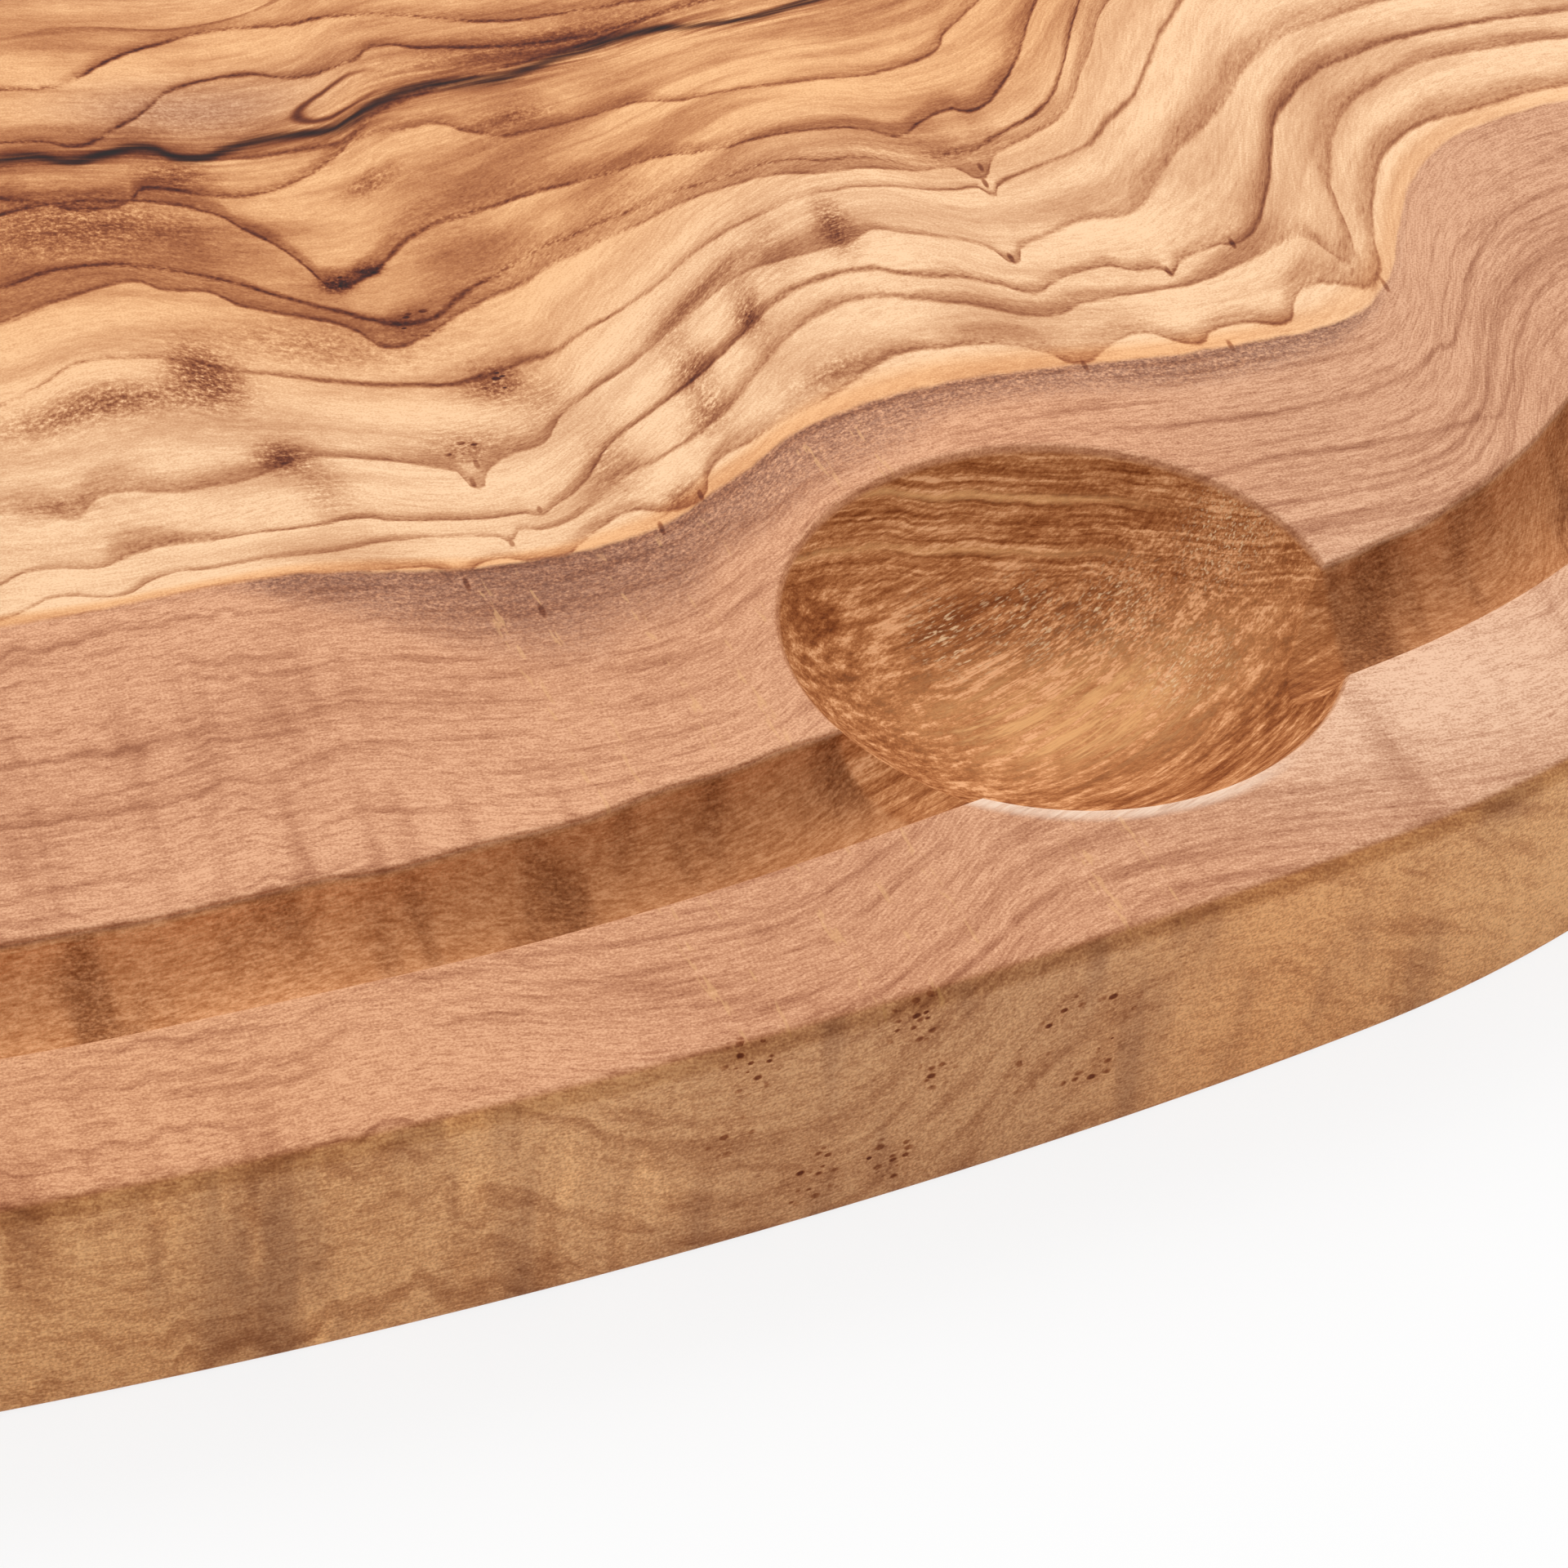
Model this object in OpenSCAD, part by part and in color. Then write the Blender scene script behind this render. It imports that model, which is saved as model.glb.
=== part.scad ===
// Oval carving board worked from one slab of olive wood.
// A round-bottomed juice groove follows the edge all the way round and runs into a scooped well.

/* [Board] */
// Length of the oval, along its long axis
board_length = 400; // [300:5:480]
// Width of the oval, across its long axis
board_width = 250; // [200:5:300]
// Thickness of the slab
board_thickness = 20; // [16:1:40]
// Radius of the two long, gently bowed sides
side_radius = 500; // [400:10:900]

/* [Edges] */
// Rounding of the upper edge
top_edge_radius = 1.5; // [0.5:0.1:4]
// Rounding of the lower edge, where the board stands
bottom_edge_radius = 0.8; // [0.4:0.1:3]

/* [Juice groove] */
// Distance from the board's edge to the middle of the groove
groove_inset = 23.4; // [14:0.2:36]
// Width of the round floor, between the lips
groove_width = 10.8; // [8:0.2:16]
// Depth of the groove below the carving face
groove_depth = 5.2; // [3:0.1:5.7]
// Easing of the two lips, across and down
groove_lip = 0.4; // [0.2:0.1:1]

/* [Well] */
// Diameter of the well at the carving face
well_diameter = 46; // [30:1:60]
// Depth of the well at its middle
well_depth = 12; // [7:0.5:14]
// Distance from the board's edge to the middle of the well
well_inset = 34.5; // [28:0.5:60]
// Distance of the well from the board's middle, along the long axis
well_offset = 94; // [0:1:110]
// Easing of the well's rim
well_lip = 0.7; // [0.2:0.1:1.5]

/* [Hidden] */
$fn = 128;

wood_color = [0.74, 0.53, 0.34];

// Cuts reach this far past the face that they start from
overcut = 1;

half_length = board_length / 2;
half_width = board_width / 2;

// Four-centre oval: two side arcs and two end arcs that meet without a corner.
// The side arcs are struck from the short axis, the end arcs from the long axis.
side_centre = side_radius - half_width;
end_radius = (2 * side_radius * half_width - half_length ^ 2 - half_width ^ 2)
    / (2 * (side_radius - half_length));
end_centre = half_length - end_radius;

// The arcs meet on the line through their two centres, which runs at this angle to the short axis
side_half_angle = atan2(end_centre, side_centre);

// Steps along the groove's round floor, and along each rounded edge
groove_steps = 13;
edge_steps = 6;

// The groove's round floor stops below the face by the height of its lips, which slope at 45 degrees
floor_depth = groove_depth - groove_lip;
groove_radius = (groove_width ^ 2 / 4 + floor_depth ^ 2) / (2 * floor_depth);
groove_half_angle = 2 * atan2(floor_depth, groove_width / 2);

// Radius of the round cutter that leaves a well of this width and depth
well_radius = (well_diameter ^ 2 / 4 + well_depth ^ 2) / (2 * well_depth);

// The flat middle starts here. The two long sides lap over each other, half way from the long axis
// to the middle's far side, and the ends lap half way over the round core within them.
groove_inner = groove_inset + groove_width / 2 + groove_lip;
side_depth = half_width + (half_width - groove_inner) / 2;
end_depth = (end_radius + groove_inner) / 2;
core_radius = (end_radius - end_depth) * 3 / 2;

// Distance of a point from the long axis, at a place along that axis and a distance inside the edge
function inset_reach(along, inset) =
    along <= (side_radius - inset) * sin(side_half_angle)
    ? sqrt((side_radius - inset) ^ 2 - along ^ 2) - side_centre
    : sqrt((end_radius - inset) ^ 2 - (along - end_centre) ^ 2);

// Points along a round stretch of a section, from one angle to another
function arc_points(centre, radius, from, to, steps) = [
    for (step = [0 : steps])
        let (angle = from + (to - from) * step / steps)
        centre + radius * [cos(angle), sin(angle)]
];

// Section through the board, from its edge at zero inwards to a depth: rounded lower and upper
// edges, the rim, and the groove's round floor between its eased lips
module edge_section(depth) {
    lower_edge = arc_points(
        [-bottom_edge_radius, bottom_edge_radius], bottom_edge_radius, -90, 0, edge_steps);
    upper_edge = arc_points(
        [-top_edge_radius, board_thickness - top_edge_radius], top_edge_radius, 0, 90, edge_steps);
    groove_floor = arc_points(
        [-groove_inset, board_thickness - groove_depth + groove_radius], groove_radius,
        -90 + groove_half_angle, -90 - groove_half_angle, groove_steps);
    half_mouth = groove_width / 2 + groove_lip;
    polygon(concat(
        [[-depth, 0]],
        lower_edge,
        upper_edge,
        [[-groove_inset + half_mouth, board_thickness]],
        groove_floor,
        [[-groove_inset - half_mouth, board_thickness], [-depth, board_thickness]]
    ));
}

// Ring with the board's edge and groove, turned about the centre of one arc
module edge_ring(radius, depth) {
    rotate([0, 0, 180])
        rotate_extrude()
            translate([radius, 0])
                edge_section(depth);
}

// Fan that a side arc covers, from its centre out past the edge, for the side towards -Y
module side_fan() {
    fan_reach = 2 * side_radius;
    fan_end = [fan_reach * sin(side_half_angle), side_centre - fan_reach * cos(side_half_angle)];
    translate([0, 0, -overcut])
        linear_extrude(board_thickness + 2 * overcut)
            polygon([[0, side_centre], [-fan_end[0], fan_end[1]], fan_end]);
}

// One long side, and one round end with its core, each up to the lines where the arcs meet
module long_side() {
    intersection() {
        translate([0, side_centre, 0])
            edge_ring(side_radius, side_depth);
        side_fan();
    }
}
module round_end() {
    difference() {
        translate([end_centre, 0, 0])
            edge_ring(end_radius, end_depth);
        side_fan();
        rotate([0, 0, 180])
            side_fan();
    }
    translate([end_centre, 0, 0])
        cylinder(h = board_thickness, r = core_radius);
}

// Scooped well with its eased rim, with the carving face at height zero
module well_cut() {
    translate([0, 0, well_radius - well_depth])
        rotate([90, 0, 0])
            sphere(well_radius);
    translate([0, 0, -well_lip])
        cylinder(h = well_lip + overcut, d1 = well_diameter, d2 = well_diameter + 2 * (well_lip + overcut));
}

// The whole board: the sides and ends are the same wood, and the well is cut through the groove
module board() {
    color(wood_color)
        difference() {
            for (turn = [0, 180])
                rotate([0, 0, turn]) {
                    long_side();
                    round_end();
                }
            translate([well_offset, -inset_reach(well_offset, well_inset), board_thickness])
                well_cut();
        }
}

board();
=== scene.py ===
import math

import bpy
from mathutils import Matrix, Vector


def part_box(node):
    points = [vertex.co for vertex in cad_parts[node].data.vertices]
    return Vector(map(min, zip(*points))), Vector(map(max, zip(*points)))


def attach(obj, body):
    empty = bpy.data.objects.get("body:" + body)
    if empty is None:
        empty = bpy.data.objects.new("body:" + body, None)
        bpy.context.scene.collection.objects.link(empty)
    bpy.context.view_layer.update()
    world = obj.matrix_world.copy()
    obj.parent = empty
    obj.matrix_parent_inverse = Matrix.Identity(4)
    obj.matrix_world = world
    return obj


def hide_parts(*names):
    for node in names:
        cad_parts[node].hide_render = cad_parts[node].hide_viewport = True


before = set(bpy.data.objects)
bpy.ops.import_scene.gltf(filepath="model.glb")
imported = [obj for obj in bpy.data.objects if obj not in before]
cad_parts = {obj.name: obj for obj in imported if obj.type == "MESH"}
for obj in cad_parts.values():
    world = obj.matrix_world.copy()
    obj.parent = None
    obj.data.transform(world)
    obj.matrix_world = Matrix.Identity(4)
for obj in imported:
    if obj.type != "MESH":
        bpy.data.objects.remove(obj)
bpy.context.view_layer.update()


# The blank: one oval slab of olive wood, sawn to a four-centre oval and sanded, with the upper edge
# eased by hand. The juice groove is part of the same sweep: it follows the edge all the way round,
# wanders a little where the hand-held router did, and swings inwards beside the well.
class Flow:
    """A socket of a node tree that takes part in Python arithmetic and adds its Math nodes as it goes."""

    def __init__(self, tree, socket=None):
        self.tree = tree
        self.socket = socket

    def node(self, kind, settings, sockets, output=0):
        """Add any other node: its type, its settings, and the values or links of its sockets."""
        made = self.tree.nodes.new(kind)
        for name, value in settings.items():
            if name == "points":
                self.fill_curve(made.mapping, value)
            else:
                setattr(made, name, value)
        for key, value in sockets.items():
            for part in value if isinstance(value, list) else [value]:
                if isinstance(part, Flow):
                    self.tree.links.new(part.socket, made.inputs[key])
                else:
                    made.inputs[key].default_value = part
        return Flow(self.tree, made.outputs[output])

    @staticmethod
    def fill_curve(mapping, points):
        """Give a curve mapping its points."""
        curve = mapping.curves[0]
        while len(curve.points) < len(points):
            curve.points.new(1.0, 1.0)
        for point, place in zip(curve.points, points):
            point.location = place
        mapping.update()

    def math(self, operation, *values):
        """Add a Math node."""
        return self.node("ShaderNodeMath", {"operation": operation}, dict(enumerate(values)))

    def __add__(self, other):
        return self.math("ADD", self, other)

    def __radd__(self, other):
        return self.math("ADD", other, self)

    def __sub__(self, other):
        return self.math("SUBTRACT", self, other)

    def __rsub__(self, other):
        return self.math("SUBTRACT", other, self)

    def __mul__(self, other):
        return self.math("MULTIPLY", self, other)

    def __rmul__(self, other):
        return self.math("MULTIPLY", other, self)

    def __truediv__(self, other):
        return self.math("DIVIDE", self, other)

    def __rtruediv__(self, other):
        return self.math("DIVIDE", other, self)

    def __pow__(self, other):
        return self.math("POWER", self, other)

    def __abs__(self):
        return self.math("ABSOLUTE", self)

    def above(self, limit):
        return self.math("MAXIMUM", self, limit)

    def below(self, limit):
        return self.math("MINIMUM", self, limit)

    def exp(self):
        return self.math("EXPONENT", self)


HALF_LENGTH = 0.200
HALF_WIDTH = 0.125
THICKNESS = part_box("board")[1].z
SIDE_RADIUS = 0.500
SIDE_CENTRE = SIDE_RADIUS - HALF_WIDTH
END_RADIUS = ((2 * SIDE_RADIUS * HALF_WIDTH - HALF_LENGTH ** 2 - HALF_WIDTH ** 2)
              / (2 * (SIDE_RADIUS - HALF_LENGTH)))
END_CENTRE = HALF_LENGTH - END_RADIUS
SIDE_HALF_ANGLE = math.atan2(END_CENTRE, SIDE_CENTRE)

# Rounded edges, the groove and the loops of the section, in metres from the edge or from the underside. A
# loop at EDGE_HOLD beside each rounded edge keeps the flats beside it flat in their shading.
TOP_EDGE = 0.0015
BOTTOM_EDGE = 0.0008
GROOVE_INSET = 0.0234
GROOVE_WIDTH = 0.0116
GROOVE_DEPTH = 0.0052
GROOVE_LIP = 0.00035
EDGE_HOLD = 0.0005
FLAT_REACH = 0.0950
BASE_LOOPS = (0.05, 0.02)
WALL_LOOPS = (0.004, 0.008, 0.012, 0.016)
RIM_LOOPS = (0.005, 0.010, 0.014)
MIDDLE_LOOPS = (0.034, 0.040, 0.050, 0.070)
SIDE_STEPS = 90
END_STEPS = 130
BOTTOM_STEPS = 4
TOP_STEPS = 7
LIP_STEPS = 4
FLOOR_STEPS = 20


def arc(centre, radius, start, end, steps):
    """Points along an arc, with angles in radians, from its start up to its end."""
    turns = [start + (end - start) * step / steps for step in range(steps + 1)]
    return [(centre[0] + radius * math.cos(a), centre[1] + radius * math.sin(a)) for a in turns]


def wire(name, points, closed):
    """An object of edges alone, through points in a plane whose axes a sweep turns outwards and down."""
    mesh = bpy.data.meshes.new(name)
    edges = [(i, i + 1) for i in range(len(points) - 1)]
    if closed:
        edges.append((len(points) - 1, 0))
    mesh.from_pydata([(u, v, 0.0) for u, v in points], edges, [])
    made = bpy.data.objects.new(name, mesh)
    bpy.context.scene.collection.objects.link(made)
    return made


quarter = math.pi / 2
plan_points = []
for turn in (0, math.pi):
    flip = math.cos(turn)
    meet = quarter - SIDE_HALF_ANGLE
    plan_points += arc((flip * END_CENTRE, 0), END_RADIUS, turn - meet, turn + meet, END_STEPS)[:-1]
    plan_points += arc((0, -flip * SIDE_CENTRE), SIDE_RADIUS, turn + meet, turn + meet + 2 * SIDE_HALF_ANGLE,
                       SIDE_STEPS)[:-1]
plan = wire("board", plan_points, closed=True)

# Section of the slab: inset from the edge along the first axis, height along the second
floor_half = GROOVE_WIDTH / 2
floor_radius = (floor_half ** 2 + GROOVE_DEPTH ** 2) / (2 * GROOVE_DEPTH)
floor_angle = 2 * math.atan2(GROOVE_DEPTH, floor_half)
lip_shift = GROOVE_LIP * math.tan(floor_angle / 2)
lip_reach = floor_half + lip_shift
trimmed_angle = floor_angle - lip_shift / floor_radius
outer_loops = (TOP_EDGE + EDGE_HOLD, *RIM_LOOPS, GROOVE_INSET - lip_reach - EDGE_HOLD)
inner_loops = (GROOVE_INSET + lip_reach + EDGE_HOLD, *MIDDLE_LOOPS, FLAT_REACH)
wall_loops = (BOTTOM_EDGE + EDGE_HOLD, *WALL_LOOPS, THICKNESS - TOP_EDGE - EDGE_HOLD)
section_points = [(inset, 0.0) for inset in (FLAT_REACH, *BASE_LOOPS, BOTTOM_EDGE + EDGE_HOLD)]
section_points += arc((BOTTOM_EDGE, BOTTOM_EDGE), BOTTOM_EDGE, -quarter, -2 * quarter, BOTTOM_STEPS)
section_points += [(0.0, rise) for rise in wall_loops]
section_points += arc((TOP_EDGE, THICKNESS - TOP_EDGE), TOP_EDGE, 2 * quarter, quarter, TOP_STEPS)
section_points += [(inset, THICKNESS) for inset in outer_loops]
section_points += arc((GROOVE_INSET - lip_reach, THICKNESS - GROOVE_LIP), GROOVE_LIP,
                      quarter, quarter - floor_angle, LIP_STEPS)
section_points += arc((GROOVE_INSET, THICKNESS - GROOVE_DEPTH + floor_radius), floor_radius,
                      -quarter - trimmed_angle, -quarter + trimmed_angle, FLOOR_STEPS)
section_points += arc((GROOVE_INSET + lip_reach, THICKNESS - GROOVE_LIP), GROOVE_LIP,
                      quarter + floor_angle, quarter, LIP_STEPS)
section_points += [(inset, THICKNESS) for inset in inner_loops]
section = wire("section", [(-inset, -height) for inset, height in section_points], closed=False)

# Section of the well's cutter: distance from its axis, and height from the carving face. Its lip stops
# LIP_END radians short of level, and the cutter stands CUT_RISE above the face.
WELL_RADIUS = 0.0232
WELL_DEPTH = 0.0120
WELL_LIP = 0.0005
WELL_INSET = 0.0345
WELL_X = 0.0940
WELL_STEPS = 160
BOWL_STEPS = 40
WELL_LIP_STEPS = 8
LIP_END = 0.02
CUT_RISE = 0.003
WELL_Y = -(math.sqrt((SIDE_RADIUS - WELL_INSET) ** 2 - WELL_X ** 2) - SIDE_CENTRE)
if WELL_X > (SIDE_RADIUS - WELL_INSET) * math.sin(SIDE_HALF_ANGLE):
    WELL_Y = -math.sqrt((END_RADIUS - WELL_INSET) ** 2 - (WELL_X - END_CENTRE) ** 2)
bowl_radius = (WELL_RADIUS ** 2 + WELL_DEPTH ** 2) / (2 * WELL_DEPTH)
bowl_angle = 2 * math.atan2(WELL_DEPTH, WELL_RADIUS)
rim_shift = WELL_LIP * math.tan(bowl_angle / 2)
trimmed_bowl = bowl_angle - rim_shift / bowl_radius
well_points = arc((0, bowl_radius - WELL_DEPTH), bowl_radius, -quarter, -quarter + trimmed_bowl, BOWL_STEPS)
well_points += arc((WELL_RADIUS + rim_shift, -WELL_LIP), WELL_LIP, quarter + bowl_angle, quarter + LIP_END,
                   WELL_LIP_STEPS)
well_points += [(WELL_RADIUS + rim_shift, CUT_RISE), (0.0, CUT_RISE)]
well_section = wire("well_section", [(reach - WELL_RADIUS, -height) for reach, height in well_points],
                    closed=False)

# The board's form as one node group. The groove's shift is whole up to the share FADE_START of FADE_REACH
# from its middle, and it has faded out at FADE_REACH.
SLAB_WELD = 1e-6
BOWL_WELD = 4e-5
FADE_REACH = 0.018
FADE_START = 0.45
GROOVE_OUTWARD = 0.0016
form = bpy.data.node_groups.new("board_form", "GeometryNodeTree")
form.is_modifier = True
form.interface.new_socket("Geometry", in_out="OUTPUT", socket_type="NodeSocketGeometry")
form_inputs = {
    "Plan": ("NodeSocketGeometry", None),
    "Section": ("NodeSocketObject", section),
    "Well Section": ("NodeSocketObject", well_section),
    "Well Place": ("NodeSocketVector", (WELL_X, WELL_Y, THICKNESS)),
    "Thickness": ("NodeSocketFloat", THICKNESS),
    "Groove Inset": ("NodeSocketFloat", GROOVE_INSET),
    "Groove Swing": ("NodeSocketFloat", 0.0036),
    "Swing Reach": ("NodeSocketFloat", 0.036),
    "Groove Wander": ("NodeSocketFloat", 0.0022),
    "Wander Length": ("NodeSocketFloat", 0.045),
    "Lip Ripple": ("NodeSocketFloat", 0.0026),
    "Ripple Length": ("NodeSocketFloat", 0.012),
    "Wood": ("NodeSocketMaterial", None),
}
for name, (kind, value) in form_inputs.items():
    form.interface.new_socket(name, in_out="INPUT", socket_type=kind)
build = Flow(form)
given_node = form.nodes.new("NodeGroupInput")
given = {name: Flow(form, given_node.outputs[name]) for name in form_inputs}


def stored(geometry, name, kind, value):
    """The geometry with a value kept on its points under a name."""
    return build.node("GeometryNodeStoreNamedAttribute", {"data_type": kind, "domain": "POINT"},
                      {"Geometry": geometry, "Name": name, "Value": value})


def vector_math(operation, *values, output=0):
    """A step of vector arithmetic on the form's points."""
    return build.node("ShaderNodeVectorMath", {"operation": operation}, dict(enumerate(values)), output)


def named(name, kind):
    """A value that was kept under a name."""
    return build.node("GeometryNodeInputNamedAttribute", {"data_type": kind}, {"Name": name})


position = build.node("GeometryNodeInputPosition", {}, {})
along_outward = build.node("ShaderNodeSeparateXYZ", {}, {0: position}, "X")
height = build.node("ShaderNodeSeparateXYZ", {}, {0: position}, "Z")

# The path keeps its sideways direction, and the section its inset, for the groove's wander
plan_curve = build.node("GeometryNodeMeshToCurve", {}, {"Mesh": given["Plan"]})
plan_curve = build.node("GeometryNodeSetCurveNormal", {"mode": "Z_UP"}, {"Curve": plan_curve})
sideways = build.node("GeometryNodeInputNormal", {}, {})
plan_curve = stored(plan_curve, "sideways", "FLOAT_VECTOR", sideways)
section_mesh = build.node("GeometryNodeObjectInfo", {}, {"Object": given["Section"]}, "Geometry")
section_mesh = stored(section_mesh, "inset", "FLOAT", 0.0 - along_outward)
section_curve = build.node("GeometryNodeMeshToCurve", {}, {"Mesh": section_mesh})
band = build.node("GeometryNodeCurveToMesh", {}, {"Curve": plan_curve, "Profile Curve": section_curve})

edge_faces = build.node("GeometryNodeInputMeshEdgeNeighbors", {}, {})
open_edge = build.node("FunctionNodeCompare", {"data_type": "INT", "operation": "EQUAL"},
                       {2: edge_faces, 3: 1})
upper = build.node("FunctionNodeCompare", {"data_type": "FLOAT", "operation": "GREATER_THAN"},
                   {0: height, 1: given["Thickness"] * 0.5})
upper_rim = build.node("FunctionNodeBooleanMath", {"operation": "AND"}, {0: open_edge, 1: upper})
rim_curve = build.node("GeometryNodeMeshToCurve", {}, {"Mesh": band, "Selection": upper_rim})
lower_cap = build.node("GeometryNodeFillCurve", {"mode": "TRIANGLES"}, {"Curve": rim_curve})
lift = build.node("ShaderNodeCombineXYZ", {}, {"Z": given["Thickness"]})
upper_cap = build.node("GeometryNodeTransform", {}, {"Geometry": lower_cap, "Translation": lift})
upper_cap = build.node("GeometryNodeFlipFaces", {}, {"Mesh": upper_cap})
caps = build.node("GeometryNodeJoinGeometry", {}, {"Geometry": [lower_cap, upper_cap]})
caps = stored(caps, "inset", "FLOAT", FLAT_REACH)
slab = build.node("GeometryNodeJoinGeometry", {}, {"Geometry": [band, caps]})
slab = build.node("GeometryNodeMergeByDistance", {}, {"Geometry": slab, "Distance": SLAB_WELD})

# Only the groove wanders: the shift fades out towards the edge and towards the flat middle
inset = named("inset", "FLOAT")
off_groove = abs(inset - given["Groove Inset"]) / FADE_REACH
fade = build.node("ShaderNodeMapRange", {"interpolation_type": "SMOOTHSTEP"},
                  {"Value": off_groove, "From Min": 1.0, "From Max": FADE_START})
from_well = vector_math("DISTANCE", position, given["Well Place"], output="Value") / given["Swing Reach"]
swing = (0.0 - from_well * from_well).exp() * given["Groove Swing"]


def soft_noise(length):
    """Soft noise about zero, with features of a given length."""
    spread = vector_math("SCALE", position)
    form.links.new((1.0 / length).socket, spread.socket.node.inputs["Scale"])
    made = build.node("ShaderNodeTexNoise", {"noise_dimensions": "3D"},
                      {"Vector": spread, "Scale": 1.0, "Detail": 1.5})
    return made - 0.5


at_inner_lip = build.node("ShaderNodeMapRange", {"interpolation_type": "SMOOTHSTEP"},
                          {"Value": inset - given["Groove Inset"], "From Min": 0.0, "From Max": floor_half})
ripple_shift = soft_noise(given["Ripple Length"]) * given["Lip Ripple"] * at_inner_lip
wander = soft_noise(given["Wander Length"]) * given["Groove Wander"]
shift = (GROOVE_OUTWARD - swing + wander + ripple_shift) * fade
shift_vector = vector_math("SCALE", named("sideways", "FLOAT_VECTOR"))
form.links.new(shift.socket, shift_vector.socket.node.inputs["Scale"])
slab = build.node("GeometryNodeSetPosition", {}, {"Geometry": slab, "Offset": shift_vector})

# The well: a bowl turned about its own axis and cut out of the slab
well_mesh = build.node("GeometryNodeObjectInfo", {}, {"Object": given["Well Section"]}, "Geometry")
well_curve = build.node("GeometryNodeMeshToCurve", {}, {"Mesh": well_mesh})
well_path = build.node("GeometryNodeCurvePrimitiveCircle", {},
                       {"Resolution": WELL_STEPS, "Radius": WELL_RADIUS})
well_path = build.node("GeometryNodeSetCurveNormal", {"mode": "Z_UP"}, {"Curve": well_path})
bowl = build.node("GeometryNodeCurveToMesh", {}, {"Curve": well_path, "Profile Curve": well_curve})
bowl = build.node("GeometryNodeMergeByDistance", {}, {"Geometry": bowl, "Distance": BOWL_WELD})
bowl = build.node("GeometryNodeFlipFaces", {}, {"Mesh": bowl})
bowl = build.node("GeometryNodeTransform", {}, {"Geometry": bowl, "Translation": given["Well Place"]})
slab = build.node("GeometryNodeMeshBoolean", {"operation": "DIFFERENCE", "solver": "EXACT"},
                  {"Mesh 1": slab, "Mesh 2": bowl})
cut_edge = Flow(form, slab.socket.node.outputs["Intersecting Edges"])
for helper_name in ("sideways", "inset"):
    slab = build.node("GeometryNodeRemoveAttribute", {}, {"Geometry": slab, "Name": helper_name})
soft_edge = build.node("FunctionNodeBooleanMath", {"operation": "NOT"}, {0: cut_edge})
slab = build.node("GeometryNodeSetShadeSmooth", {"domain": "FACE"}, {"Geometry": slab, "Shade Smooth": True})
slab = build.node("GeometryNodeSetShadeSmooth", {"domain": "EDGE"},
                  {"Geometry": slab, "Shade Smooth": soft_edge})
slab = build.node("GeometryNodeRealizeInstances", {}, {"Geometry": slab})
slab = build.node("GeometryNodeSetMaterial", {}, {"Geometry": slab, "Material": given["Wood"]})
result = form.nodes.new("NodeGroupOutput")
form.links.new(slab.socket, result.inputs["Geometry"])

wood = bpy.data.materials.new("oiled_olive")
wood.use_nodes = True

modifier = plan.modifiers.new("form", "NODES")
modifier.node_group = form
form_inputs["Wood"] = ("NodeSocketMaterial", wood)
for item in form.interface.items_tree:
    if item.in_out == "INPUT" and form_inputs[item.name][1] is not None:
        modifier[item.identifier] = form_inputs[item.name][1]
bpy.context.view_layer.update()
evaluated = plan.evaluated_get(bpy.context.evaluated_depsgraph_get())
board_mesh = bpy.data.meshes.new_from_object(evaluated)
plan.modifiers.remove(modifier)
board_mesh.materials.pop(index=0)
board = bpy.data.objects.new("carving_board", board_mesh)
bpy.context.scene.collection.objects.link(board)
for helper in (plan, section, well_section):
    bpy.data.objects.remove(helper)


# The wood: olive, rubbed with oil and figured through its whole depth, with pale and brown year bands round
# a dark-veined heart and a plain pinkish-brown outer wood. Lengths are in millimetres from the board's middle
# and underside, and each LIGHT is the share of red, green and blue that a stain of strength 1 leaves.
MM = 1000.0
BAND_LIGHT = (0.368, 0.205, 0.135)
OUTER_LIGHT = (0.368, 0.235, 0.180)
STAIN_LIGHT = (0.368, 0.305, 0.320)
OIL_LIGHT = (0.368, 0.218, 0.119)
SMOKE_LIGHT = (0.340, 0.250, 0.190)
wood_tree = wood.node_tree
wood_tree.nodes.clear()
grain = Flow(wood_tree)


def axes(value):
    """The three parts of a vector."""
    parts = grain.node("ShaderNodeSeparateXYZ", {}, {0: value}).socket.node
    return [Flow(wood_tree, out) for out in parts.outputs]


def vector(first, second, third):
    """A vector of three values."""
    return grain.node("ShaderNodeCombineXYZ", {}, {0: first, 1: second, 2: third})


def arrow(operation, first, second, output=0):
    """A step of vector arithmetic."""
    return grain.node("ShaderNodeVectorMath", {"operation": operation}, {0: first, 1: second}, output)


def noise(place, size, detail=2.0, roughness=0.5):
    """Soft noise about zero, mostly within -1 and 1, with features of a given size along each axis."""
    made = grain.node("ShaderNodeTexNoise", {"noise_dimensions": "3D"},
                      {"Vector": arrow("DIVIDE", place, size), "Scale": 1.0, "Detail": detail,
                       "Roughness": roughness})
    return made * 4.0 - 2.0


def ease(value, start, end):
    """Zero before the start, one after the end, and smooth between them."""
    return grain.node("ShaderNodeMapRange", {"interpolation_type": "SMOOTHSTEP"},
                      {"Value": value, "From Min": start, "From Max": end})


def tint(share, first, second):
    """One colour turned into another by a share of it."""
    return grain.node("ShaderNodeMix", {"data_type": "RGBA"}, {0: share, 6: first, 7: second}, 2)


def soak(colour, strength, left):
    """A colour seen through a stain in the wood, with the share of light that strength 1 of it leaves."""
    return arrow("MULTIPLY", colour, arrow("POWER", left, vector(strength, strength, strength)))


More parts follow.
